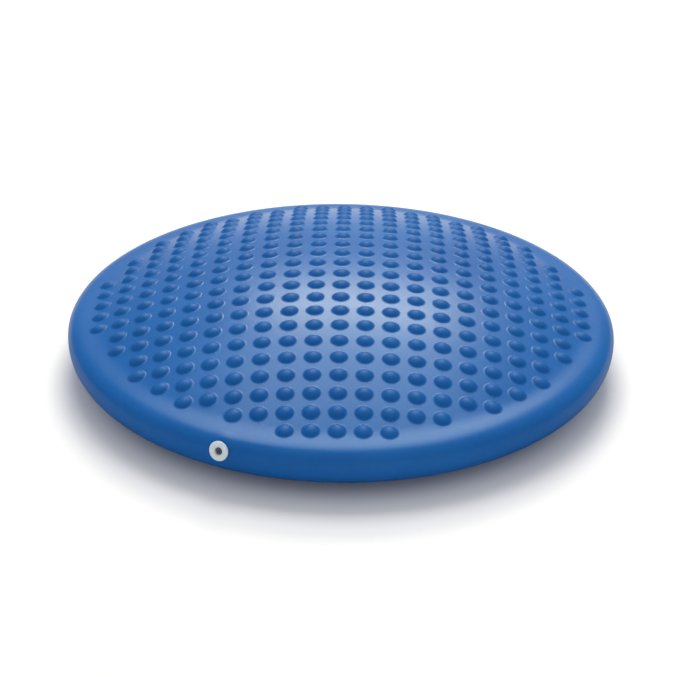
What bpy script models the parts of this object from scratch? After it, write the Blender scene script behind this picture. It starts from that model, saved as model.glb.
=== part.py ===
"""Round inflatable balance disc: a soft air-filled skin with a crowned, nubbed top, a rounded rim,
a flat foot and a push-in valve on its side.

Metres, +Z up. The origin is the centre of the flat foot, on the ground. The nub grid follows X and Y.
The skin is made of four moulded zones (top, upper wall, lower wall, base) so that the top can rock on
the base. The valve is a boss, a soft sleeve, a plug and a needle core, all turned about one axis that
points away from the middle of the disc and slightly up.
"""

import bisect
import math

import bmesh
import bpy
from mathutils import Euler, Vector
from mathutils.geometry import delaunay_2d_cdt

# ---------------------------------------------------------------- driving dimensions
GAP = 0.0003  # clearance between neighbouring pieces

# Skin, from the crown down to the foot
HEIGHT = 0.070  # ground to the skin at the middle of the crown
WALL = 0.0024  # skin thickness
OUTER_R = 0.195  # at the widest line
RIM_FROM_R = 0.1700  # where the crown starts to flatten into the rim
ROLL_START_R = 0.1840  # where the rim starts to roll over into the wall
RIM_Z = 0.0381  # height of the rim there
RIM_SLOPE = -0.21  # slope of the rim there
ROLL_END_Z = 0.0285  # height where the roll ends, upright
ROLL_POWER = 2.3  # 2 is a round corner; more is squarer
PART_Z = 0.0185  # height of the line where upper and lower wall meet
SHOULDER_R = 0.0185  # radius of the lower shoulder's arc
SHOULDER_Z = 0.0270  # height of its centre
SHOULDER_END_DEG = 13.0  # slope of the underside where the lower shoulder ends
FOOT_R = 0.1030  # radius of the flat foot
ROCK_Z = 0.027  # height of both rocking axes: one along the valve's compass line, one across it

# Nubs: six-sided, radii to the corners
PITCH = 0.0174  # grid spacing
GRID_REACH = 10  # grid steps from the middle to the outermost nub
NUB_REACH_SQ = 105  # a nub sits at grid place (i, j) when i*i + j*j is at most this
NUB_SIDES = 6
NUB_BASE_R = 0.0063
NUB_TOP_R = 0.0040
NUB_HEIGHT = 0.0028

# Factors of the powers 0, 2, 4, ... of the share: grid distance from the middle over GRID_REACH
GATHER = (1, 0.0194, -0.0374)  # a nub's distance from the axis, against an even grid
DOME_DROP = (0, 1.534, 0.408, -0.266)  # drop of the dome below its middle, in pitches

# Valve
VALVE_DEG = 247.0  # compass place of the valve, from +X towards +Y
VALVE_TILT_DEG = 14.0  # how far the valve looks up
SEAT_R = 0.19495  # middle of the valve's seat: distance from the disc's axis
SEAT_Z = 0.0300  # and height
VALVE_LENGTH = 0.0170  # how far in from the seat the boss reaches
BOSS_HEAD_R = 0.00585
BOSS_R = 0.0052
BOSS_BORE_R = 0.0047
SLEEVE_R = BOSS_BORE_R - GAP
SLEEVE_BORE_R = 0.0035
STEM_R = SLEEVE_BORE_R - GAP
FLANGE_R = 0.00675
FLANGE_T = 0.0016
PLUG_BORE_R = 0.0023
CORE_R = PLUG_BORE_R - GAP
NEEDLE_R = 0.00045  # radius of the needle hole in the core
HOLE_MOUTH_R = BOSS_HEAD_R + GAP
HOLE_R = BOSS_R + GAP  # the hole behind its mouth
HOLE_MOUTH_DEPTH = 0.0028
CUTTER_IN = 0.0090  # reach of the hole's cutter in from the seat
CUTTER_OUT = 0.0070  # and out from it

# Resolution
SKIN_SEGMENTS = 64
VALVE_SEGMENTS = 24
CROWN_STEPS, ROLL_STEPS, SHOULDER_STEPS, UNDERSIDE_STEPS = 300, 90, 60, 200
SLOPE_STEP = 1e-4  # distance over which the crown's slope is taken
TANGENT_REACH = 4e-4  # arc length either side over which the section's direction is taken
SHARP_DEG = 38  # edges bent more than this are shaded sharp

# name: (base colour, roughness)
DARK_BLUE = (0.022, 0.095, 0.310, 1.0)
MATERIALS = {
    "skin_blue": ((0.030, 0.120, 0.370, 1.0), 0.42),
    "wall_blue": (DARK_BLUE, 0.42),
    "base_blue": (DARK_BLUE, 0.48),
    "boss_blue": (DARK_BLUE, 0.45),
    "valve_white": ((0.760, 0.780, 0.800, 1.0), 0.35),
    "sleeve_soft": ((0.620, 0.660, 0.700, 1.0), 0.40),
    "core_grey": ((0.110, 0.120, 0.145, 1.0), 0.60),
}


# ---------------------------------------------------------------- section of the skin
def span(low, high, steps):
    """Evenly spaced values from low to high, both included."""
    return [low + (high - low) * k / steps for k in range(steps + 1)]


def even_powers(factors, value):
    return sum(factor * value ** (2 * k) for k, factor in enumerate(factors))


def dome_z(radius):
    """Height of the dome at a distance from the axis."""
    even_share = share = radius / (GRID_REACH * PITCH)
    for _ in range(8):  # undoes the gathering by repeated correction
        share = even_share / even_powers(GATHER, share)
    return HEIGHT - PITCH * even_powers(DOME_DROP, share)


def crown_z(radius):
    """Height of the crowned top: the dome, eased by a cubic into the flatter rim."""
    if radius <= RIM_FROM_R:
        return dome_z(radius)
    if radius >= ROLL_START_R:
        return RIM_Z + RIM_SLOPE * (radius - ROLL_START_R)
    width = ROLL_START_R - RIM_FROM_R
    dome_end = dome_z(RIM_FROM_R)
    dome_slope = (dome_end - dome_z(RIM_FROM_R - SLOPE_STEP)) / SLOPE_STEP
    part = (radius - RIM_FROM_R) / width
    return (
        dome_end * (2 * part**3 - 3 * part**2 + 1)
        + dome_slope * width * (part**3 - 2 * part**2 + part)
        + RIM_Z * (3 * part**2 - 2 * part**3)
        + RIM_SLOPE * width * (part**3 - part**2)
    )


def crown_slope(radius):
    return (crown_z(radius + SLOPE_STEP) - crown_z(radius - SLOPE_STEP)) / (2 * SLOPE_STEP)


def roll_point(degrees):
    """Point on the squarish roll from the crown (0 degrees) to the wall (90)."""
    angle = math.radians(degrees)
    across = math.sin(angle) ** (2 / ROLL_POWER)
    down = 1 - math.cos(angle) ** (2 / ROLL_POWER)
    radius = ROLL_START_R + (OUTER_R - ROLL_START_R) * across
    return (radius, crown_z(radius) - (crown_z(OUTER_R) - ROLL_END_Z) * down)


def shoulder_point(degrees):
    """Point on the lower shoulder, counted from straight down."""
    angle = math.radians(degrees)
    return (
        OUTER_R - SHOULDER_R + SHOULDER_R * math.sin(angle),
        SHOULDER_Z - SHOULDER_R * math.cos(angle),
    )


SHOULDER_END = shoulder_point(SHOULDER_END_DEG)


def underside_z(radius):
    """Height of the underside: flat over the foot, then a parabola up to the lower shoulder."""
    steepness = SHOULDER_END[1] / (SHOULDER_END[0] - FOOT_R) ** 2
    return steepness * max(0.0, radius - FOOT_R) ** 2


def dense_section():
    """(radius, z) along the outer face from mid-crown to mid-foot, in fine steps."""
    points = [(radius, crown_z(radius)) for radius in span(0, ROLL_START_R, CROWN_STEPS)]
    points += [roll_point(degrees) for degrees in span(0, 90, ROLL_STEPS)[1:]]
    points += [shoulder_point(degrees) for degrees in span(90, SHOULDER_END_DEG, SHOULDER_STEPS)]
    underside = span(SHOULDER_END[0], 0, UNDERSIDE_STEPS)[1:]
    points += [(radius, underside_z(radius)) for radius in underside]
    return points


SECTION = dense_section()
LENGTHS = [0.0]  # arc length from the middle of the crown to each point of SECTION
for start_point, end_point in zip(SECTION, SECTION[1:]):
    LENGTHS.append(LENGTHS[-1] + math.dist(start_point, end_point))


def outer_at(length):
    """(radius, z) at an arc length along the outer face."""
    k = bisect.bisect_right(LENGTHS, length) - 1
    part = (length - LENGTHS[k]) / (LENGTHS[k + 1] - LENGTHS[k])
    (radius_0, z_0), (radius_1, z_1) = SECTION[k], SECTION[k + 1]
    return (radius_0 + (radius_1 - radius_0) * part, z_0 + (z_1 - z_0) * part)


def inner_at(length):
    """The point of the inner face right behind outer_at(length)."""
    before = Vector(outer_at(length - TANGENT_REACH))
    after = Vector(outer_at(length + TANGENT_REACH))
    along = (after - before).normalized()
    radius, z = outer_at(length)
    return (radius + WALL * along.y, z - WALL * along.x)


def length_down_to(height):
    """Arc length of the first point of the section that is no higher than height."""
    return next(length for length, (_, z) in zip(LENGTHS, SECTION) if z <= height + 1e-9)


# Arc lengths where the zones end, and where the foot starts
CROWN_END = length_down_to(RIM_Z)
PART_LINE = length_down_to(PART_Z)
WALL_END = length_down_to(SHOULDER_END[1])
FOOT_START = length_down_to(0)


# ---------------------------------------------------------------- mesh helpers
def polygon(radius, count, turn=0.0, x=0.0, y=0.0):
    """Corners of a regular polygon about (x, y); turn is in steps between corners."""
    angles = [2 * math.pi * (k + turn) / count for k in range(count)]
    return [(x + radius * math.cos(angle), y + radius * math.sin(angle)) for angle in angles]


def add_ring(mesh, radius, z, count):
    """A ring of vertices about Z, or a single vertex when it lies on the axis."""
    if radius < 1e-9:
        return [mesh.verts.new((0, 0, z))]
    return [mesh.verts.new((x, y, z)) for x, y in polygon(radius, count)]


def add_skirt(mesh, ring_a, ring_b):
    """Joins two rings with quads, or with triangles where one of them is a single vertex."""
    count = max(len(ring_a), len(ring_b))
    if count == 1:
        return
    for k in range(count):
        after = (k + 1) % count
        corners = [
            ring_a[k % len(ring_a)],
            ring_a[after % len(ring_a)],
            ring_b[after % len(ring_b)],
            ring_b[k % len(ring_b)],
        ]
        mesh.faces.new(list(dict.fromkeys(corners)))


def turned(profile, segments):
    """A closed mesh turned about Z from a closed loop of (radius, z)."""
    mesh = bmesh.new()
    rings = [add_ring(mesh, radius, z, segments) for radius, z in profile]
    for ring_a, ring_b in zip(rings, rings[1:] + rings[:1]):
        add_skirt(mesh, ring_a, ring_b)
    return mesh


def finish_object(name, mesh, material, origin_z=0.0, parent=None):
    """Turns a closed bmesh into an object with its origin origin_z up the Z axis."""
    bmesh.ops.remove_doubles(mesh, verts=mesh.verts, dist=1e-7)
    bmesh.ops.recalc_face_normals(mesh, faces=mesh.faces)
    if mesh.calc_volume(signed=True) < 0:  # inside out
        bmesh.ops.reverse_faces(mesh, faces=mesh.faces)
    bmesh.ops.translate(mesh, verts=mesh.verts, vec=(0, 0, -origin_z))
    data = bpy.data.meshes.new(name)
    mesh.to_mesh(data)
    mesh.free()
    data.materials.append(bpy.data.materials[material])
    data.shade_smooth()
    data.set_sharp_from_angle(angle=math.radians(SHARP_DEG))
    obj = bpy.data.objects.new(name, data)
    obj.location = (0, 0, origin_z)
    obj.parent = parent
    bpy.context.scene.collection.objects.link(obj)
    return obj


def add_material(name, colour, roughness):
    material = bpy.data.materials.new(name)
    material.use_nodes = True
    shader = material.node_tree.nodes["Principled BSDF"]
    shader.inputs["Base Color"].default_value = colour
    shader.inputs["Roughness"].default_value = roughness
    material.diffuse_color = colour


# ---------------------------------------------------------------- top zone with its nubs
def nub_places():
    """(x, y) of every nub: a square grid that gathers slightly towards the edge."""
    places = []
    for j in range(-GRID_REACH, GRID_REACH + 1):
        for i in range(-GRID_REACH, GRID_REACH + 1):
            if i * i + j * j <= NUB_REACH_SQ:
                scale = PITCH * even_powers(GATHER, math.hypot(i, j) / GRID_REACH)
                places.append((i * scale, j * scale))
    return places


def add_nub(mesh, x, y, foot):
    """Raises a nub square to the crown from its foot's vertices, and returns its end face."""
    radius = math.hypot(x, y)
    outward = Vector((x, y, 0)).normalized()
    normal = (Vector((0, 0, 1)) - outward * crown_slope(radius)).normalized()
    middle = Vector((x, y, crown_z(radius))) + normal * NUB_HEIGHT
    cap = []
    for corner in polygon(NUB_TOP_R, NUB_SIDES, turn=0.5):
        level = Vector((*corner, 0))
        cap.append(mesh.verts.new(middle + level - normal * level.dot(normal)))
    add_skirt(mesh, foot, cap)
    return mesh.faces.new(cap)


def build_top_panel():
    """The crowned face is one net of triangles around the nubs' feet; the inner face is plain."""
    edge = CROWN_END - GAP / 2
    inner_shares = (1.0, 0.84, 0.64, 0.43, 0.21)  # rings of the inner face, as shares of edge
    places = nub_places()

    # The net is laid out flat: area 0 is the whole face, and every further area is a nub's foot.
    outlines = [polygon(outer_at(edge)[0], SKIN_SEGMENTS)]
    outlines += [polygon(NUB_BASE_R, NUB_SIDES, 0.5, x, y) for x, y in places]
    flat_points = []
    areas = []
    for outline in outlines:
        areas.append(list(range(len(flat_points), len(flat_points) + len(outline))))
        flat_points += [Vector(corner) for corner in outline]
    points, _, triangles, point_sources, _, triangle_areas = delaunay_2d_cdt(
        flat_points, [], areas, 1, 1e-7, True
    )

    mesh = bmesh.new()
    verts = [mesh.verts.new((point.x, point.y, crown_z(point.length))) for point in points]
    vert_of = {source: vert for vert, sources in zip(verts, point_sources) for source in sources}
    for triangle, owners in zip(triangles, triangle_areas):
        if list(owners) == [0]:
            mesh.faces.new([verts[k] for k in triangle])
    caps = [
        add_nub(mesh, x, y, [vert_of[source] for source in area])
        for (x, y), area in zip(places, areas[1:])
    ]

    rings = [[vert_of[source] for source in areas[0]]]
    for share in inner_shares:
        rings.append(add_ring(mesh, *inner_at(edge * share), SKIN_SEGMENTS))
    rings.append(add_ring(mesh, 0, HEIGHT - WALL, SKIN_SEGMENTS))
    for ring_a, ring_b in zip(rings, rings[1:]):
        add_skirt(mesh, ring_a, ring_b)
    bmesh.ops.triangulate(mesh, faces=caps)
    finish_object("top_panel", mesh, "skin_blue", origin_z=ROCK_Z)


# ---------------------------------------------------------------- wall and base zones
def build_sidewall(name, top, bottom, outer_steps, inner_steps, origin_z=0.0):
    """A ring of skin between two arc lengths, half a gap short of each."""
    start = top + GAP / 2
    end = bottom - GAP / 2
    outer = [outer_at(length) for length in span(start, end, outer_steps)]
    inner = [inner_at(length) for length in span(end, start, inner_steps)]
    return finish_object(name, turned(outer + inner, SKIN_SEGMENTS), "wall_blue", origin_z)


def build_bottom_panel():
    start = WALL_END + GAP / 2
    lengths = [start, start + 0.016, start + 0.034, start + 0.054, FOOT_START]
    outer = [outer_at(length) for length in lengths] + [(0.0, 0.0)]
    inner = [(0.0, WALL)] + [inner_at(length) for length in reversed(lengths)]
    finish_object("bottom_panel", turned(outer + inner, SKIN_SEGMENTS), "base_blue")


# ---------------------------------------------------------------- valve
# Each profile is a closed loop of (radius, distance out from the seat), in the valve's own frame.
VALVE_END = -VALVE_LENGTH  # inner end of the boss and sleeve
BOSS_STEP = -HOLE_MOUTH_DEPTH + GAP  # underside of the boss's head
PLUG_END = VALVE_END + 0.0012
CORE_END = VALVE_END + 0.0016
FACE = GAP + FLANGE_T  # outer face of the plug's flange

CUTTER_PROFILE = [
    (0, -CUTTER_IN),
    (HOLE_R, -CUTTER_IN),
    (HOLE_R, -HOLE_MOUTH_DEPTH),
    (HOLE_MOUTH_R, -HOLE_MOUTH_DEPTH),
    (HOLE_MOUTH_R, CUTTER_OUT),
    (0, CUTTER_OUT),
]

# name: (material, profile)
VALVE_PIECES = {
    "valve_boss": ("boss_blue", [
        (BOSS_BORE_R, VALVE_END),
        (BOSS_R - 0.0003, VALVE_END),  # chamfered inner end
        (BOSS_R, VALVE_END + 0.0005),
        (BOSS_R, BOSS_STEP),
        (BOSS_HEAD_R, BOSS_STEP),
        (BOSS_HEAD_R, -0.0003),  # chamfered head
        (BOSS_HEAD_R - 0.0003, 0.0),
        (BOSS_BORE_R, 0.0),
    ]),
    "valve_sleeve": ("sleeve_soft", [
        (SLEEVE_BORE_R, VALVE_END + 0.0004),
        (SLEEVE_R - 0.0005, VALVE_END),  # chamfered inner end
        (SLEEVE_R, VALVE_END + 0.0008),
        (SLEEVE_R, -0.0004),  # lip chamfered on both sides
        (SLEEVE_R - 0.0003, 0.0),
        (SLEEVE_BORE_R + 0.0003, 0.0),
        (SLEEVE_BORE_R, -0.0004),
    ]),
    "valve_plug": ("valve_white", [
        (PLUG_BORE_R, PLUG_END),
        (STEM_R - 0.0007, PLUG_END),  # tapered tip of the stem
        (STEM_R - 0.0001, PLUG_END + 0.0022),
        (STEM_R, GAP),
        (FLANGE_R - 0.0002, GAP),
        (FLANGE_R, GAP + 0.0003),
        (FLANGE_R, FACE - 0.0007),  # rounded outer edge of the flange
        (FLANGE_R - 0.0007, FACE - 0.0001),
        (FLANGE_R - 0.0018, FACE),
        (PLUG_BORE_R + 0.0007, FACE - 0.0002),  # mouth of the bore
        (PLUG_BORE_R, FACE - 0.0008),
    ]),
    "needle_core": ("core_grey", [
        (0, CORE_END),
        (CORE_R - 0.0003, CORE_END),  # chamfered inner end
        (CORE_R, CORE_END + 0.0004),
        (CORE_R, FACE - 0.0018),  # chamfered outer end
        (CORE_R - 0.0004, FACE - 0.0013),
        (NEEDLE_R + 0.0003, FACE - 0.0014),  # mouth of the needle hole
        (NEEDLE_R, FACE - 0.0018),
        (NEEDLE_R, FACE - 0.0058),  # pointed bottom of the hole
        (0, FACE - 0.0062),
    ]),
}


def add_valve_axis():
    """The valve's frame: origin at the middle of the seat, +Z straight out of the wall."""
    compass = math.radians(VALVE_DEG)
    axis = bpy.data.objects.new("valve_axis", None)
    axis.location = (SEAT_R * math.cos(compass), SEAT_R * math.sin(compass), SEAT_Z)
    axis.rotation_euler = Euler((0, math.radians(90 - VALVE_TILT_DEG), compass), "XYZ")
    bpy.context.scene.collection.objects.link(axis)
    return axis


def build_valve_piece(name, material, profile, axis):
    return finish_object(name, turned(profile, VALVE_SEGMENTS), material, parent=axis)


def cut_valve_hole(wall, axis):
    cutter = build_valve_piece("seat_cutter", "boss_blue", CUTTER_PROFILE, axis)
    cutter.hide_render = True
    cutter.display_type = "WIRE"
    cut = wall.modifiers.new("valve_hole", "BOOLEAN")
    cut.operation = "DIFFERENCE"
    cut.solver = "EXACT"
    cut.object = cutter


# ---------------------------------------------------------------- build
for old in list(bpy.data.objects):
    bpy.data.objects.remove(old, do_unlink=True)
# Old materials would take the names that the pieces look up.
for old in list(bpy.data.materials):
    bpy.data.materials.remove(old)
for material_name, (base_colour, surface_roughness) in MATERIALS.items():
    add_material(material_name, base_colour, surface_roughness)

valve_axis = add_valve_axis()
build_top_panel()
upper_sidewall = build_sidewall("upper_sidewall", CROWN_END, PART_LINE, 9, 7, ROCK_Z)
build_sidewall("lower_sidewall", PART_LINE, WALL_END, 6, 5)
build_bottom_panel()
cut_valve_hole(upper_sidewall, valve_axis)
for piece_name, (piece_material, piece_profile) in VALVE_PIECES.items():
    build_valve_piece(piece_name, piece_material, piece_profile, valve_axis)
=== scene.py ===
"""Looks for the inflatable balance disc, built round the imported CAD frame.

The disc lies flat: its axis is Z, its sole is on z = 0 and its nubbed, crowned top faces up. The front is -Y, and the
valve sits in the wall just left of the front, at VALVE_DEG. Sizes are in metres.

The skin is two closed, hollow shells that lap at the parting line of the wall. The upper one carries the crowned top
with every nub as real geometry, the lower one the wall's foot and the underside. The valve is four turned pieces.
"""

import bisect
import math

import bmesh
import bpy
import numpy as np
from mathutils import Euler, Matrix, Quaternion, Vector
from mathutils.geometry import delaunay_2d_cdt


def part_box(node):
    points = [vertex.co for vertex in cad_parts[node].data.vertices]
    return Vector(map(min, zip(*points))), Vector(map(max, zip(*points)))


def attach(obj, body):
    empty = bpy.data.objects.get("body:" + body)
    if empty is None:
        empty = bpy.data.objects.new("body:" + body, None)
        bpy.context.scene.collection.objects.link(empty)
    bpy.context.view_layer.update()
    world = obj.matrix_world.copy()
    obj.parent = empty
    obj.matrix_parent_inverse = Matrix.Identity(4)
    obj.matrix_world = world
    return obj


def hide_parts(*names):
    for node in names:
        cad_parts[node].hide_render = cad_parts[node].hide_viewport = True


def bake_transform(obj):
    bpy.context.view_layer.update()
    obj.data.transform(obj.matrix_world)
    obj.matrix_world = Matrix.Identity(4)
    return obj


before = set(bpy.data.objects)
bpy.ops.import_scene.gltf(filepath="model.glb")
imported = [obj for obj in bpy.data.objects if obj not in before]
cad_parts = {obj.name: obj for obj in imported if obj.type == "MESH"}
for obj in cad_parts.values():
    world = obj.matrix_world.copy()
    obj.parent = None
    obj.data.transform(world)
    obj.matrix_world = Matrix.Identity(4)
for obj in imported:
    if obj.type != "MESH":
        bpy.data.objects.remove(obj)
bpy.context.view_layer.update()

# ------------------------------------------------------------------ sizes
# the disc
R_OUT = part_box("upper_sidewall")[1].x
HEIGHT = 0.070  # to the skin at the middle of the top, without nubs
WALL = 0.0024

# the nubs, on a square grid that is spread and gathered with distance from the middle
PITCH = 0.0174
GRID_REACH = 10  # rows of nubs from the middle to the rim
NUB_COUNT_SQ = 105  # the grid is cut off at this squared distance, in rows
NUB_HEIGHT = 0.0028
NUB_CAP_R = 0.0076  # radius of curvature of a nub's dome
NUB_FILLET = 0.0023
PATCH_R = 0.00735  # where a nub's own patch of skin ends

# the section, from the rim of the top down to the foot
RIM_FROM_R = 0.1700
RIM_Z = 0.0381
RIM_SLOPE = -0.21
ROLL_START_R = 0.1840
ROLL_END_Z = 0.0285
ROLL_POWER = 2.3  # exponent of the superellipse that rolls the top into the wall
LOWER_R = 0.0185
LOWER_Z = 0.0270
LOWER_END_DEG = 13.0
FOOT_R = 0.1030

# the lap: the upper skin's lip hangs outside the lower skin's tongue
PART_Z = 0.0185
HALF_PART_GAP = 0.0001
LAP_CHAMFER = 0.00012  # depth of the bevel at each outer edge of the joint
LAP_BEVEL = 0.00002  # and its length along the wall
LIP_LENGTH = 0.0016
LIP_END_T = 0.00110
LIP_ROOT_T = 0.00125
TONGUE_LENGTH = 0.0014
TONGUE_END_DEPTH = 0.00140
TONGUE_ROOT_DEPTH = 0.00125

# the underside's low rings and the sole's shallow grooves
RIDGE_RADII = (0.132, 0.147, 0.162)
RIDGE_HALF_WIDTH = 0.0018
RIDGE_HEIGHT = 0.0006
GROOVE_RADII = (0.086, 0.058)
# offset from the groove's middle, height above the sole's plane
GROOVE = ((0.0016, 0.0), (0.0008, 0.0004), (0.0, 0.0005), (-0.0008, 0.0004), (-0.0016, 0.0))

# the valve; its seat is the plane its boss and hole are measured from
VALVE_DEG = 247.0
VALVE_TILT_DEG = 14.0  # how far its axis tips up
SEAT_R, SEAT_Z = 0.19495, 0.0300
VALVE_BACK = -0.0170
HOLE_R = 0.00615
HOLE_STEP = 0.0028
HOLE_IN_R = 0.0055
GAP = 0.0003  # clearance between the valve's pieces
BOSS_BORE_R = 0.0047
PLUG_BORE_R = 0.00240
FLANGE_R = 0.00675
FLANGE_T = 0.0016
FACE = GAP + FLANGE_T
PAD_R = 0.0062  # the slight swelling round the valve
PAD_END_R = 0.0135
PAD_SHARE = 0.22  # how much of the way to its target the skin moves
PAD_DEPTH = 0.00008  # the outer face's target, behind the seat

# points round each ring; an inner face has a third of its outer face's
COLUMNS = 540
INNER_COLUMNS = 180
LOWER_COLUMNS = 360
LOWER_INNER_COLUMNS = 120
NUB_COLUMNS = 20
VALVE_COLUMNS = 72


# ------------------------------------------------------------------ section of the skin
SLOPE_STEP = 1e-4  # for slopes by difference


def gather(share):
    """How much the nub grid is spread at this share of its reach."""
    return 1 + 0.0194 * share**2 - 0.0374 * share**4


def dome_z(radius):
    plain = share = radius / (GRID_REACH * PITCH)
    for _ in range(8):  # undo the spread by iteration
        share = plain / gather(share)
    return HEIGHT - PITCH * (1.534 * share**2 + 0.408 * share**4 - 0.266 * share**6)


def crown_z(radius):
    """The dome, eased by a cubic into the straight slope of the rim."""
    if radius <= RIM_FROM_R:
        return dome_z(radius)
    if radius >= ROLL_START_R:
        return RIM_Z + RIM_SLOPE * (radius - ROLL_START_R)
    width = ROLL_START_R - RIM_FROM_R
    slope = (dome_z(RIM_FROM_R) - dome_z(RIM_FROM_R - SLOPE_STEP)) / SLOPE_STEP
    t = (radius - RIM_FROM_R) / width
    return (
        dome_z(RIM_FROM_R) * (2 * t**3 - 3 * t**2 + 1)
        + slope * width * (t**3 - 2 * t**2 + t)
        + RIM_Z * (3 * t**2 - 2 * t**3)
        + RIM_SLOPE * width * (t**3 - t**2)
    )


def crown_slope(radius):
    return (crown_z(radius + SLOPE_STEP) - crown_z(radius - SLOPE_STEP)) / (2 * SLOPE_STEP)


def roll_point(deg):
    """A point of the roll from top to wall; 0 is its start, 90 the widest point."""
    angle = math.radians(deg)
    across = abs(math.sin(angle)) ** (2 / ROLL_POWER)
    down = 1 - abs(math.cos(angle)) ** (2 / ROLL_POWER)
    radius = ROLL_START_R + (R_OUT - ROLL_START_R) * across
    return (radius, crown_z(radius) - (crown_z(R_OUT) - ROLL_END_Z) * down)


def lower_point(deg):
    """A point of the wall's lower arc; 90 is its widest point, 0 would be straight down."""
    angle = math.radians(deg)
    return (R_OUT - LOWER_R + LOWER_R * math.sin(angle), LOWER_Z - LOWER_R * math.cos(angle))


UNDER_END = lower_point(LOWER_END_DEG)
UNDER_CURVE = UNDER_END[1] / (UNDER_END[0] - FOOT_R) ** 2


def under_z(radius):
    return UNDER_CURVE * max(0.0, radius - FOOT_R) ** 2


def dense_section():
    """(radius, z) along the outer face, from the middle of the top to the middle of the sole."""
    radii = [ROLL_START_R * k / 300 for k in range(301)]
    points = [(radius, crown_z(radius)) for radius in radii]
    points += [roll_point(90 * k / 120) for k in range(1, 121)]
    points += [lower_point(90 + (LOWER_END_DEG - 90) * k / 80) for k in range(81)]
    radii = [UNDER_END[0] * (1 - k / 240) for k in range(1, 241)]
    return points + [(radius, under_z(radius)) for radius in radii]


SECTION = dense_section()
LENGTHS = [0.0]  # arc length at each point of SECTION
for (_r0, _z0), (_r1, _z1) in zip(SECTION, SECTION[1:]):
    LENGTHS.append(LENGTHS[-1] + math.hypot(_r1 - _r0, _z1 - _z0))


def outer_at(length):
    """The point of the outer face at this arc length."""
    k = min(max(bisect.bisect_right(LENGTHS, length) - 1, 0), len(SECTION) - 2)
    t = (length - LENGTHS[k]) / (LENGTHS[k + 1] - LENGTHS[k])
    (r0, z0), (r1, z1) = SECTION[k], SECTION[k + 1]
    return (r0 + (r1 - r0) * t, z0 + (z1 - z0) * t)


def inset_at(length, depth):
    """The point depth behind the outer face at this arc length."""
    r0, z0 = outer_at(max(length - 6e-4, 0.0))
    r1, z1 = outer_at(min(length + 6e-4, LENGTHS[-1]))
    along = Vector((r1 - r0, z1 - z0)).normalized()
    radius, z = outer_at(length)
    return (max(radius + depth * along.y, 0.0), z - depth * along.x)


def length_where(test):
    return next(length for length, (radius, z) in zip(LENGTHS, SECTION) if test(radius, z))


# arc lengths where the parts of the section meet
CROWN_END = length_where(lambda radius, z: radius >= ROLL_START_R - 1e-9)
ROLL_END = length_where(lambda radius, z: radius >= R_OUT - 1e-9)
PARTING = length_where(lambda radius, z: radius > 0.19 and z <= PART_Z)
LOWER_END = length_where(lambda radius, z: z < 0.02 and radius <= UNDER_END[0] + 1e-9)
FOOT = length_where(lambda radius, z: z <= 1e-9 and radius <= FOOT_R + 0.001)


def span(low, high, steps):
    return [low + (high - low) * k / steps for k in range(steps + 1)]


def ease(t):
    t = min(max(t, 0.0), 1.0)
    return t * t * (3 - 2 * t)


# ------------------------------------------------------------------ mesh building
def circle(radius, count, x=0.0, y=0.0, phase=0):
    """Points round (x, y); phase turns them by that many steps."""
    angles = [2 * math.pi * (k + phase) / count for k in range(count)]
    return [(x + radius * math.cos(angle), y + radius * math.sin(angle)) for angle in angles]


def shade(mesh, sharp_deg):
    mesh.shade_smooth()
    mesh.set_sharp_from_angle(angle=math.radians(sharp_deg))


def place_in_scene(obj):
    bpy.context.scene.collection.objects.link(obj)


class Builder:
    """Collects points and faces, then makes an object."""

    def __init__(self):
        self.points, self.faces = [], []

    def point(self, position):
        self.points.append(tuple(position))
        return len(self.points) - 1

    def ring(self, radius, z, count):
        return [self.point((x, y, z)) for x, y in circle(radius, count)]

    def skirt(self, ring, other):
        """Joins two rings; other has as many points as ring, or a third as many."""
        size, other_size = len(ring), len(other)
        if size == other_size:
            for k in range(size):
                j = (k + 1) % size
                self.faces.append((ring[k], ring[j], other[j], other[k]))
            return
        for k in range(other_size):
            a0, a1, a2, a3 = (ring[(3 * k + step) % size] for step in range(4))
            b0, b1 = other[k], other[(k + 1) % other_size]
            self.faces += [(a0, a1, b0), (a1, b1, b0), (a1, a2, b1), (a2, a3, b1)]

    def sweep(self, start, outline, count):
        """Carries the skin from the ring start along (radius, z) points; gives the new rings."""
        rings = [start]
        for radius, z in outline:
            rings.append(self.ring(radius, z, count))
            self.skirt(rings[-2], rings[-1])
        return rings[1:]

    def fan(self, ring, tip):
        for k in range(len(ring)):
            self.faces.append((ring[k], ring[(k + 1) % len(ring)], tip))

    def make(self, name, material, sharp_deg=38):
        mesh = bpy.data.meshes.new(name)
        mesh.from_pydata(self.points, [], self.faces)
        bm = bmesh.new()
        bm.from_mesh(mesh)
        bm.verts.layers.float.new("relief")
        loose = [vert for vert in bm.verts if not vert.link_faces]
        bmesh.ops.delete(bm, geom=loose, context="VERTS")
        bmesh.ops.recalc_face_normals(bm, faces=bm.faces)
        if bm.calc_volume(signed=True) < 0:
            bmesh.ops.reverse_faces(bm, faces=bm.faces)
        bm.to_mesh(mesh)
        bm.free()
        mesh.materials.append(material)
        shade(mesh, sharp_deg)
        obj = bpy.data.objects.new(name, mesh)
        place_in_scene(obj)
        return obj


# ------------------------------------------------------------------ turned pieces of the valve
# Z points out of the wall along the valve's axis, with 0 at the seat
VALVE_FRAME = Matrix.Translation(
    (
        SEAT_R * math.cos(math.radians(VALVE_DEG)),
        SEAT_R * math.sin(math.radians(VALVE_DEG)),
        SEAT_Z,
    )
) @ Euler(
    (0, math.radians(90 - VALVE_TILT_DEG), math.radians(VALVE_DEG)), "XYZ"
).to_matrix().to_4x4()


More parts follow.
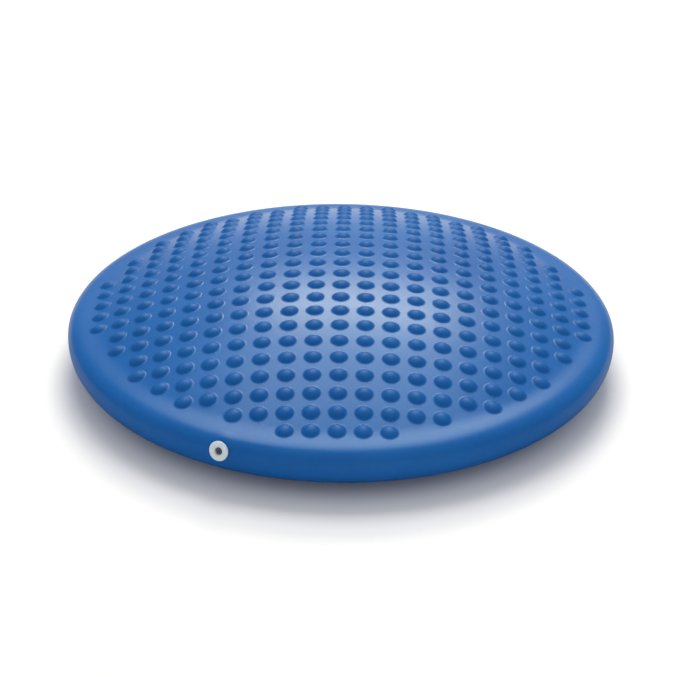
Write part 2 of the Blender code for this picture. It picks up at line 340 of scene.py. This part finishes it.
def soften(outline, radius, steps=3):
    """Rounds every corner of a closed outline that isn't on the axis."""
    out = []
    for k, (r, z) in enumerate(outline):
        if r < 1e-9:
            out.append((r, z))
            continue
        corner = Vector((r, z))
        back = Vector(outline[k - 1]) - corner
        ahead = Vector(outline[(k + 1) % len(outline)]) - corner
        cut = min(radius, back.length * 0.45, ahead.length * 0.45)
        start, end = corner + back.normalized() * cut, corner + ahead.normalized() * cut
        for j in range(steps + 1):
            t = j / steps
            out.append(tuple(start * (1 - t) ** 2 + corner * 2 * t * (1 - t) + end * t**2))
    return out


def turned(name, outline, material):
    """A closed solid turned about the valve's axis; outline is (radius, distance from the seat)."""
    solid = Builder()
    rings = [
        [solid.point((0, 0, z))] if radius < 1e-9 else solid.ring(radius, z, VALVE_COLUMNS)
        for radius, z in outline
    ]
    for ring, other in zip(rings, rings[1:] + rings[:1]):
        if len(ring) > 1 and len(other) > 1:
            solid.skirt(ring, other)
        elif len(ring) > 1:
            solid.fan(ring, other[0])
        elif len(other) > 1:
            solid.fan(other, ring[0])
    solid.points = [tuple(VALVE_FRAME @ Vector(point)) for point in solid.points]
    return solid.make(name, material, sharp_deg=50)


# Outlines are (radius, distance out from the seat).
HOLE_OUTLINE = [
    (0, -0.009),
    (HOLE_IN_R, -0.009),
    (HOLE_IN_R, -HOLE_STEP),
    (HOLE_R, -HOLE_STEP),
    (HOLE_R, 0.007),
    (0, 0.007),
]
BOSS_OUTLINE = [
    (BOSS_BORE_R, VALVE_BACK),
    (HOLE_IN_R - GAP, VALVE_BACK),
    (HOLE_IN_R - GAP, -HOLE_STEP + GAP),
    (HOLE_R - GAP, -HOLE_STEP + GAP),
    (HOLE_R - GAP, 0.0),
    (BOSS_BORE_R, 0.0),
]
SLEEVE_OUTLINE = [
    (0.0035, VALVE_BACK),
    (0.0040, VALVE_BACK),
    (BOSS_BORE_R - GAP, VALVE_BACK + 0.0008),
    (BOSS_BORE_R - GAP, 0.0),
    (0.0036, 0.0),
    (0.0035, -0.0008),
]
PLUG_STEM_R = 0.0031
PLUG_RIB_R = 0.00340
PLUG_DISH = 0.00022  # how far the flange's face is sunk between its rims
PLUG_OUTLINE = [
    (PLUG_BORE_R, VALVE_BACK + 0.0012),
    (0.00255, VALVE_BACK + 0.0012),
    (0.0030, VALVE_BACK + 0.0030),
]
for rib in (-0.0128, -0.0096, -0.0064):
    PLUG_OUTLINE += [(PLUG_STEM_R, rib), (PLUG_RIB_R, rib + 0.0007), (PLUG_STEM_R, rib + 0.0010)]
PLUG_OUTLINE += [
    (PLUG_STEM_R, GAP),
    (FLANGE_R - 0.0003, GAP),
    (FLANGE_R, GAP + 0.0004),
    (FLANGE_R, FACE - 0.0006),
    (FLANGE_R - 0.0006, FACE),
    (FLANGE_R - 0.0012, FACE),
    (FLANGE_R - 0.0017, FACE - PLUG_DISH),
    (0.0038, FACE - PLUG_DISH),
    (0.0034, FACE),
    (0.0030, FACE),
    (PLUG_BORE_R, FACE - 0.0008),
]
CORE_R = PLUG_BORE_R - GAP
NEEDLE_HOLE_R = 0.00045
CORE_OUTLINE = [
    (0, VALVE_BACK + 0.0016),
    (0.00180, VALVE_BACK + 0.0016),
    (CORE_R, VALVE_BACK + 0.0020),
    (CORE_R, FACE - 0.0011),
    (0.0017, FACE - 0.0008),
    (0.0010, FACE - 0.0011),
    (NEEDLE_HOLE_R, FACE - 0.0016),
    (NEEDLE_HOLE_R, FACE - 0.0058),
    (0, FACE - 0.0062),
]


# ------------------------------------------------------------------ upper skin
def nub_places():
    reach = range(-GRID_REACH, GRID_REACH + 1)
    places = []
    for j in reach:
        for i in reach:
            if i * i + j * j <= NUB_COUNT_SQ:
                scale = PITCH * gather(math.hypot(i, j) / GRID_REACH)
                places.append((i * scale, j * scale))
    return places


def nub_profile():
    """(distance from the nub's middle, height) from its foot to just short of its tip."""
    reach = NUB_CAP_R + NUB_FILLET
    turn = math.acos((reach - NUB_HEIGHT) / reach)
    foot = reach * math.sin(turn)
    points = [(foot + 0.00010, 0.0)]
    for k in range(1, 4):
        angle = turn * k / 3
        points.append((foot - NUB_FILLET * math.sin(angle), NUB_FILLET * (1 - math.cos(angle))))
    for k in range(1, 6):
        angle = turn * (1 - k / 6)
        height = NUB_HEIGHT - NUB_CAP_R * (1 - math.cos(angle))
        points.append((NUB_CAP_R * math.sin(angle), height))
    return points


def web_points(places, edge_r):
    """Loose points for the skin between the nubs, clear of the patches, the edge and each other."""
    candidates = []
    for j in range(-11, 12):
        for i in range(-11, 12):
            u, v = i + 0.5, j + 0.5
            share = math.hypot(u, v) / GRID_REACH
            if share < 1.06:
                scale = PITCH * gather(share)
                for du, dv in ((0, 0), (0.13, 0), (-0.13, 0), (0, 0.13), (0, -0.13)):
                    candidates.append(((u + du) * scale, (v + dv) * scale))
    for count, inward in ((300, 0.0022), (260, 0.0050), (220, 0.0085), (200, 0.0125)):
        candidates += circle(edge_r - inward, count, phase=0.5)
    centres = np.array(places)
    kept = np.zeros((0, 2))
    for x, y in candidates:
        if math.hypot(x, y) > edge_r - 0.0019:
            continue
        if np.min(np.hypot(centres[:, 0] - x, centres[:, 1] - y)) < PATCH_R + 0.0008:
            continue
        if len(kept) and np.min(np.hypot(kept[:, 0] - x, kept[:, 1] - y)) < 0.0012:
            continue
        kept = np.vstack([kept, (x, y)])
    return kept


def build_web(skin, places):
    """Triangulates the top between the nubs; gives the edge ring and a ring round each nub."""
    edge_r = outer_at(CROWN_END)[0]
    flat = circle(edge_r, COLUMNS)
    areas = [list(range(COLUMNS))]
    for x, y in places:
        areas.append(list(range(len(flat), len(flat) + NUB_COLUMNS)))
        flat += circle(PATCH_R, NUB_COLUMNS, x, y)
    flat = [Vector(point) for point in flat + list(web_points(places, edge_r))]
    points, _, triangles, origins, _, owners = delaunay_2d_cdt(flat, [], areas, 1, 1e-7, True)
    index = [skin.point((point.x, point.y, crown_z(point.length))) for point in points]
    made_from = {given: index[k] for k, givens in enumerate(origins) for given in givens}
    for triangle, owner in zip(triangles, owners):
        if list(owner) == [0]:  # inside the edge but in no nub's patch
            skin.faces.append(tuple(index[k] for k in triangle))
    edge, *patches = [[made_from[given] for given in area] for area in areas]
    return edge, patches


def build_nub(skin, x, y, patch, profile):
    """Raises one nub from the ring of its patch, square to the crown."""
    radius = math.hypot(x, y)
    outward = Vector((x / radius, y / radius, 0)) if radius > 1e-9 else Vector((0, 0, 0))
    normal = (Vector((0, 0, 1)) - outward * crown_slope(radius)).normalized()
    previous = patch
    for reach, height in profile:
        ring = [
            skin.point(Vector((px, py, crown_z(math.hypot(px, py)))) + normal * height)
            for px, py in circle(reach, NUB_COLUMNS, x, y)
        ]
        skin.skirt(previous, ring)
        previous = ring
    tip = skin.point(Vector((x, y, crown_z(radius))) + normal * NUB_HEIGHT)
    skin.fan(previous, tip)


def raise_pad(skin, outer, inner):
    """Swells the skin round the valve part of the way up to its seat, easing back to the wall."""
    to_valve = VALVE_FRAME.inverted()
    for rings, depth in ((outer, PAD_DEPTH), (inner, PAD_DEPTH + WALL)):
        for k in (k for ring in rings for k in ring):
            point = to_valve @ Vector(skin.points[k])
            off_axis = math.hypot(point.x, point.y)
            if off_axis < PAD_END_R and point.z > -0.02:  # not the far side of the disc
                fade = 1 - ease((off_axis - PAD_R) / (PAD_END_R - PAD_R))
                point.z += (-depth - point.z) * PAD_SHARE * fade
                skin.points[k] = tuple(VALVE_FRAME @ point)


def build_upper(material):
    skin = Builder()
    places = nub_places()
    profile = nub_profile()
    edge, patches = build_web(skin, places)
    for (x, y), patch in zip(places, patches):
        build_nub(skin, x, y, patch, profile)
    # the roll and the wall
    end = PARTING - HALF_PART_GAP
    stations = span(CROWN_END, ROLL_END, 30)[1:] + span(ROLL_END, end, 10)[1:]
    outer = [edge] + skin.sweep(edge, [outer_at(length) for length in stations], COLUMNS)
    # the lip at the parting line
    lip = [
        inset_at(end + LAP_BEVEL, LAP_CHAMFER),
        inset_at(end + LAP_BEVEL, LIP_END_T),
        inset_at(end - LIP_LENGTH, LIP_ROOT_T),
    ]
    lip_rings = skin.sweep(outer[-1], lip, COLUMNS)
    # the inner face, back up the wall and across to the middle
    stations = [end - LIP_LENGTH] + span(end - 0.0030, CROWN_END, 16)
    outline = [inset_at(length, WALL) for length in stations]
    inner = skin.sweep(lip_rings[-1], outline, INNER_COLUMNS)
    shares = (0.9, 0.78, 0.64, 0.5, 0.36, 0.22, 0.1)
    outline = [inset_at(CROWN_END * share, WALL) for share in shares]
    ceiling = skin.sweep(inner[-1], outline, INNER_COLUMNS)
    skin.fan(ceiling[-1], skin.point((0, 0, HEIGHT - WALL)))
    raise_pad(skin, outer, inner)
    return skin.make("skin_upper", material)


def cut_hole(obj, material):
    """Opens the stepped hole that the boss sits in."""
    cutter = turned("hole_cutter", HOLE_OUTLINE, material)
    modifier = obj.modifiers.new("hole", "BOOLEAN")
    modifier.operation = "DIFFERENCE"
    modifier.solver = "EXACT"
    modifier.object = cutter
    bpy.context.view_layer.update()
    evaluated = obj.evaluated_get(bpy.context.evaluated_depsgraph_get())
    cut = bpy.data.meshes.new_from_object(evaluated)
    obj.modifiers.clear()
    obj.data = cut
    cut.name = obj.name
    bpy.data.objects.remove(cutter)
    cut.materials.clear()
    cut.materials.append(material)
    shade(cut, 38)


def set_relief(obj):
    """Stores how far up its nub each point is, for the material."""
    mesh = obj.data
    if "relief" in mesh.attributes:
        mesh.attributes.remove(mesh.attributes["relief"])
    layer = mesh.attributes.new("relief", "FLOAT", "POINT")
    values = []
    for vert in mesh.vertices:
        radius = math.hypot(vert.co.x, vert.co.y)
        rise = vert.co.z - crown_z(radius) if radius < ROLL_START_R else 0.0
        values.append(min(max(rise / NUB_HEIGHT, 0.0), 1.0))
    layer.data.foreach_set("value", values)


def set_normals(obj):
    """Gives the web the crown's own normals, so that its triangles don't show in the sheen."""
    mesh = obj.data
    own = {}
    for vert in mesh.vertices:
        x, y, z = vert.co
        radius = math.hypot(x, y)
        if 1e-6 < radius < ROLL_START_R - 1e-5 and abs(z - crown_z(radius)) < 2e-6:
            slope = crown_slope(radius)
            own[vert.index] = Vector((-slope * x / radius, -slope * y / radius, 1)).normalized()
    normals = [normal.vector.copy() for normal in mesh.corner_normals]
    for loop in mesh.loops:
        if loop.vertex_index in own:
            normals[loop.index] = own[loop.vertex_index]
    mesh.normals_split_custom_set(normals)


# ------------------------------------------------------------------ lower skin
def under_point(length):
    """The outer face of the underside, with its three low moulded rings."""
    radius, z = outer_at(length)
    for middle in RIDGE_RADII:
        t = abs(radius - middle) / RIDGE_HALF_WIDTH
        if t < 1:
            return inset_at(length, -RIDGE_HEIGHT * (1 - ease(t)))
    return (radius, z)


def build_lower(material):
    skin = Builder()
    start = PARTING + HALF_PART_GAP
    outline = [
        inset_at(start - TONGUE_LENGTH, TONGUE_END_DEPTH),
        inset_at(start - LAP_BEVEL, TONGUE_ROOT_DEPTH),
        inset_at(start - LAP_BEVEL, LAP_CHAMFER),
    ]
    outline += [outer_at(length) for length in span(start, LOWER_END, 18)]
    outline += [under_point(length) for length in span(LOWER_END, FOOT, 110)[1:]]
    for middle in GROOVE_RADII:
        outline += [(middle + offset, z) for offset, z in GROOVE]
    tongue = skin.ring(*outline[0], LOWER_COLUMNS)
    outer = skin.sweep(tongue, outline[1:], LOWER_COLUMNS)
    sole = [(radius, 0.0) for radius in (0.046, 0.034, 0.018)]
    sole_rings = skin.sweep(outer[-1], sole, LOWER_INNER_COLUMNS)
    skin.fan(sole_rings[-1], skin.point((0, 0, 0)))
    # the inner face, from the tongue down and in to the middle
    stations = [start - TONGUE_LENGTH] + span(start + 0.0010, LOWER_END, 9)
    stations += span(LOWER_END, FOOT, 6)[1:]
    outline = [inset_at(length, WALL) for length in stations]
    outline += [(radius, WALL) for radius in (0.080, 0.055, 0.030)]
    inner = skin.sweep(tongue, outline, LOWER_INNER_COLUMNS)
    skin.fan(inner[-1], skin.point((0, 0, WALL)))
    return skin.make("skin_lower", material)


# ------------------------------------------------------------------ materials
class Nodes:
    """Builds the node tree of a material or world; inputs take either a socket or a value."""

    def __init__(self, owner, shader="Principled BSDF", coords="Object"):
        owner.use_nodes = True
        self.owner = owner
        self.tree = owner.node_tree
        self.shader = self.tree.nodes[shader]
        self.coords = self.add("ShaderNodeTexCoord").outputs[coords]

    def feed(self, node, inputs):
        for key, value in inputs.items():
            if isinstance(value, bpy.types.NodeSocket):
                self.tree.links.new(value, node.inputs[key])
            else:
                node.inputs[key].default_value = value

    def add(self, kind, inputs=None, **settings):
        node = self.tree.nodes.new(kind)
        for key, value in settings.items():
            setattr(node, key, value)
        self.feed(node, inputs or {})
        return node

    def shade(self, inputs):
        self.feed(self.shader, inputs)

    def noise(self, scale, detail=4.0, roughness=0.55, distortion=0.0):
        inputs = {
            "Vector": self.coords,
            "Scale": scale,
            "Detail": detail,
            "Roughness": roughness,
            "Distortion": distortion,
        }
        return self.add("ShaderNodeTexNoise", inputs).outputs["Fac"]

    def ramp(self, value, across, to=(0.0, 1.0)):
        """Maps the range across onto the range to, clamped."""
        inputs = {
            "Value": value,
            "From Min": across[0],
            "From Max": across[1],
            "To Min": to[0],
            "To Max": to[1],
        }
        return self.add("ShaderNodeMapRange", inputs).outputs["Result"]

    def mix(self, factor, first, second):
        """Mixes colours; the Mix node keeps them at inputs 6 and 7, output 2."""
        inputs = {0: factor, 6: first, 7: second}
        return self.add("ShaderNodeMix", inputs, data_type="RGBA").outputs[2]

    def maths(self, operation, first, second=None):
        inputs = {0: first} if second is None else {0: first, 1: second}
        return self.add("ShaderNodeMath", inputs, operation=operation).outputs[0]

    def split(self):
        return self.add("ShaderNodeSeparateXYZ", {"Vector": self.coords}).outputs

    def bump(self, height, strength, distance, **below):
        inputs = {"Height": height, "Strength": strength, "Distance": distance, **below}
        return self.add("ShaderNodeBump", inputs).outputs["Normal"]


VINYL_DARK = (0.0058, 0.097, 0.348, 1.0)
VINYL_LIGHT = (0.0082, 0.115, 0.388, 1.0)
VINYL_SPECULAR = 0.24
# painted shade: a deep blue that the nubs are darkened towards
NUB_PAINTED_SHADE = (0.0, 0.02, 0.10, 1.0)
SCUFFED = tuple(0.85 * channel + 0.08 for channel in VINYL_LIGHT[:3]) + (1.0,)


def vinyl(name, roughness, nubs):
    """Satin soft vinyl: cloudy colour, a fine leathery grain, and duller, slightly scuffed nubs, darkened a little by
    painted shade.
    """
    nodes = Nodes(bpy.data.materials.new(name))
    clouds = nodes.noise(scale=14.0, detail=3.0, roughness=0.5)
    fine = nodes.noise(scale=320.0, detail=4.0, roughness=0.6)
    cloud_part = nodes.maths("MULTIPLY", clouds, second=0.65)
    tone = nodes.maths("ADD", cloud_part, nodes.maths("MULTIPLY", fine, second=0.35))
    colour = nodes.mix(nodes.ramp(tone, across=(0.36, 0.64)), VINYL_DARK, VINYL_LIGHT)
    patches = nodes.noise(scale=11.0, detail=5.0, roughness=0.6, distortion=0.4)
    rough = nodes.ramp(patches, across=(0.30, 0.70), to=(roughness - 0.03, roughness + 0.04))
    specular = VINYL_SPECULAR
    if nubs:
        relief = nodes.add("ShaderNodeAttribute", attribute_name="relief").outputs["Fac"]
        on_nub = nodes.ramp(relief, across=(0.0, 0.16))
        scuff_noise = nodes.noise(scale=150.0, detail=5.0, roughness=0.65)
        scuff = nodes.ramp(scuff_noise, across=(0.50, 0.75))
        near_tip = nodes.ramp(relief, across=(0.75, 1.0), to=(0.0, 0.22))
        colour = nodes.mix(nodes.maths("MULTIPLY", near_tip, scuff), colour, SCUFFED)
        rough = nodes.maths("ADD", rough, nodes.maths("MULTIPLY", on_nub, second=0.16))
        specular = nodes.ramp(on_nub, across=(0.0, 1.0), to=(VINYL_SPECULAR, VINYL_SPECULAR * 0.55))
        # painted shade: each nub is darkened a tenth of the way towards the deep blue
        nub_shade_share = nodes.ramp(on_nub, across=(0.0, 1.0), to=(0.0, 0.10))
        colour = nodes.mix(nub_shade_share, colour, NUB_PAINTED_SHADE)
    grain = nodes.add(
        "ShaderNodeTexVoronoi", {"Vector": nodes.coords, "Scale": 1100.0}, feature="SMOOTH_F1"
    )
    swell_noise = nodes.noise(scale=30.0, detail=2.0, roughness=0.5)
    swell = nodes.bump(swell_noise, strength=0.06, distance=0.0010)
    leathery = nodes.bump(
        grain.outputs["Distance"], strength=0.12, distance=0.00012, Normal=swell
    )
    nodes.shade(
        {
            "Base Color": colour,
            "Roughness": rough,
            "Specular IOR Level": specular,
            "Specular Tint": (0.78, 1.0, 0.98, 1.0),
            "Normal": leathery,
        }
    )
    return nodes.owner


def add_painted_shade(nodes, tint, painted_shade):
    """Speckles the plug's face round its hole and at its rim with painted shade, for the shade of the hole's recess
    and of the flange's edge.
    """
    middle = tuple(VALVE_FRAME @ Vector((0, 0, FACE)))
    away = nodes.add("ShaderNodeVectorMath", {0: nodes.coords, 1: middle}, operation="DISTANCE")
    away = away.outputs["Value"]
    # painted shade: darkest at the hole's mouth and fading outwards, then again at the flange's rounded rim
    near = nodes.ramp(away, across=(0.0022, 0.0042), to=(0.55, 0.0))
    edge = nodes.ramp(away, across=(0.0060, 0.0069), to=(0.0, 0.30))
    speckle_noise = nodes.noise(scale=900.0, detail=5.0, roughness=0.7)
    speckle = nodes.ramp(speckle_noise, across=(0.35, 0.70), to=(0.35, 1.0))
    amount = nodes.maths("MULTIPLY", nodes.maths("ADD", near, edge), speckle)
    return nodes.mix(amount, tint, painted_shade)


def moulded(name, colour, shaded, roughness, specular, subsurface=0.0, painted_shade=None):
    """Small mouldings: faint mottling and a fine mould texture."""
    nodes = Nodes(bpy.data.materials.new(name))
    mottling = nodes.noise(scale=420.0, detail=4.0, roughness=0.6)
    tint = nodes.mix(nodes.ramp(mottling, across=(0.35, 0.65)), colour, shaded)
    # where given, the face gets speckled painted shade round its hole and rim
    if painted_shade:
        tint = add_painted_shade(nodes, tint, painted_shade)
    patches = nodes.noise(scale=260.0, detail=3.0, roughness=0.5)
    rough = nodes.ramp(patches, across=(0.3, 0.7), to=(roughness - 0.04, roughness + 0.06))
    texture = nodes.noise(scale=1500.0, detail=3.0, roughness=0.6)
    nodes.shade(
        {
            "Base Color": tint,
            "Roughness": rough,
            "Specular IOR Level": specular,
            "Normal": nodes.bump(texture, strength=0.10, distance=0.00008),
        }
    )
    if subsurface:
        nodes.shade(
            {"Subsurface Weight": subsurface, "Subsurface Radius": (0.002, 0.002, 0.002)}
        )
    return nodes.owner


skin_top = vinyl("vinyl_top", roughness=0.30, nubs=True)
skin_base = vinyl("vinyl_base", roughness=0.36, nubs=False)
boss_blue = moulded("vinyl_boss", VINYL_DARK, VINYL_LIGHT, roughness=0.42, specular=0.3)
plug_white = moulded(
    "plug_white",
    colour=(0.68, 0.76, 0.82, 1.0),
    shaded=(0.62, 0.71, 0.78, 1.0),
    roughness=0.30,
    specular=0.45,
    subsurface=0.12,
    # the grey of the painted shade round the hole and at the rim
    painted_shade=(0.34, 0.35, 0.36, 1.0),
)
sleeve_milky = moulded(
    "sleeve_milky",
    colour=(0.62, 0.66, 0.70, 1.0),
    shaded=(0.55, 0.60, 0.65, 1.0),
    roughness=0.34,
    specular=0.45,
    subsurface=0.25,
)
core_dark = moulded(
    "core_dark",
    colour=(0.105, 0.116, 0.138, 1.0),
    shaded=(0.080, 0.090, 0.108, 1.0),
    roughness=0.62,
    specular=0.3,
)

# ------------------------------------------------------------------ the pieces, tied to the frame
upper = build_upper(skin_top)
cut_hole(upper, skin_top)
set_relief(upper)
set_normals(upper)
lower = build_lower(skin_base)

# name, outline, corner radius, material, body it rides on, CAD piece it replaces, slot
for name, outline, corner_r, material, body, node, slot in (
    ("valve_boss_moulded", BOSS_OUTLINE, 0.0003, boss_blue, "wall", "valve_boss", "side_skin"),
    ("valve_sleeve_moulded", SLEEVE_OUTLINE, 0.0002, sleeve_milky,
     "wall", "valve_sleeve", "valve_sleeve"),
    ("valve_plug_moulded", PLUG_OUTLINE, 0.00022, plug_white, "plug", "valve_plug", "valve_plug"),
    ("needle_core_moulded", CORE_OUTLINE, 0.00015, core_dark,
     "plug", "needle_core", "needle_core"),
):
    piece = turned(name, soften(outline, corner_r), material)
    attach(piece, body)
    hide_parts(node)
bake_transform(upper)
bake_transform(lower)
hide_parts("top_panel", "upper_sidewall")
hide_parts("lower_sidewall", "bottom_panel")


# ------------------------------------------------------------------ floor
def paper():
    """Paper white, but dark in front of the disc in reflections only, like a black flag."""
    nodes = Nodes(bpy.data.materials.new("floor_paper"))
    path = nodes.add("ShaderNodeLightPath")
    in_front = nodes.ramp(nodes.split()["Y"], across=(-0.20, 0.30), to=(1.0, 0.0))
    flag = nodes.maths(
        "MULTIPLY",
        path.outputs["Is Glossy Ray"],
        nodes.maths("MULTIPLY", in_front, second=0.94),
    )
    clouds = nodes.noise(scale=3.0, detail=2.0)
    white = nodes.mix(clouds, (0.86, 0.86, 0.87, 1.0), (0.90, 0.90, 0.905, 1.0))
    tone = nodes.mix(flag, white, (0.0, 0.0, 0.0, 1.0))
    nodes.shade({"Base Color": tone, "Roughness": 0.9, "Specular IOR Level": 0.0})
    return nodes.owner


bpy.ops.mesh.primitive_plane_add(size=30, location=(0, 0, -0.0002))
floor = bpy.context.object
floor.name = "floor"
floor.data.materials.append(paper())

# ------------------------------------------------------------------ world
AMBIENT = 0.69  # strength for all but glossy rays
GLOSSY_FRONT = 0.03  # strength for glossy rays, towards the front and the back
GLOSSY_BACK = 0.48


def light_world():
    """Even white light; reflections see a pale backdrop behind the disc that is only so wide."""
    world = bpy.data.worlds.new("studio")
    bpy.context.scene.world = world
    nodes = Nodes(world, shader="Background", coords="Generated")
    direction = nodes.split()
    behind = nodes.ramp(direction["Y"], across=(0.13, 0.78), to=(GLOSSY_FRONT, GLOSSY_BACK))
    off_centre = nodes.maths("ABSOLUTE", direction["X"])
    sideways = nodes.ramp(off_centre, across=(0.26, 0.56), to=(1.0, 0.2))
    backdrop = nodes.maths("MULTIPLY", behind, sideways)
    glossy = nodes.add("ShaderNodeLightPath").outputs["Is Glossy Ray"]
    # the Mix node keeps its plain numbers at inputs 2 and 3, output 0
    strength = nodes.add("ShaderNodeMix", {0: glossy, 2: AMBIENT, 3: backdrop}).outputs[0]
    nodes.shade({"Strength": strength, "Color": (1.0, 1.0, 1.0, 1.0)})


light_world()


# ------------------------------------------------------------------ lights
def softbox(name, position, target, size, power, colour=(1, 1, 1)):
    data = bpy.data.lights.new(name, "AREA")
    data.shape = "RECTANGLE"
    data.size, data.size_y = size
    data.energy = power
    data.color = colour
    obj = bpy.data.objects.new(name, data)
    obj.location = position
    obj.rotation_mode = "QUATERNION"
    obj.rotation_quaternion = (Vector(target) - Vector(position)).to_track_quat("-Z", "Y")
    place_in_scene(obj)


softbox("softbox_top", position=(0.0, 0.90, 1.85), target=(0, 0, 0), size=(1.35, 1.0), power=21)
softbox(
    "softbox_back",
    position=(0.10, 2.1, 1.70),
    target=(0, 0, 0.05),
    size=(1.15, 0.60),
    power=31,
    colour=(1.0, 0.92, 0.72),
)

# ------------------------------------------------------------------ camera
CAMERA_DISTANCE = 1.44466  # from the disc's axis
CAMERA_HEIGHT = 0.79544
CAMERA_TURN = math.radians(0.634)  # round the disc, from the front towards +X
CAMERA_ROLL = math.radians(0.565)
CAMERA_TARGET = Vector((-0.001728, 0.0, 0.017408))

lens = bpy.data.cameras.new("camera")
lens.lens = 121.05
lens.sensor_width = 36.0
lens.clip_start, lens.clip_end = 0.05, 60
camera = bpy.data.objects.new("camera", lens)
place_in_scene(camera)
camera.location = (
    CAMERA_DISTANCE * math.sin(CAMERA_TURN),
    -CAMERA_DISTANCE * math.cos(CAMERA_TURN),
    CAMERA_HEIGHT,
)
camera.rotation_mode = "QUATERNION"
aim = (CAMERA_TARGET - Vector(camera.location)).to_track_quat("-Z", "Y")
camera.rotation_quaternion = aim @ Quaternion((0, 0, 1), CAMERA_ROLL)
bpy.context.scene.camera = camera

bpy.context.scene.view_settings.view_transform = "Standard"
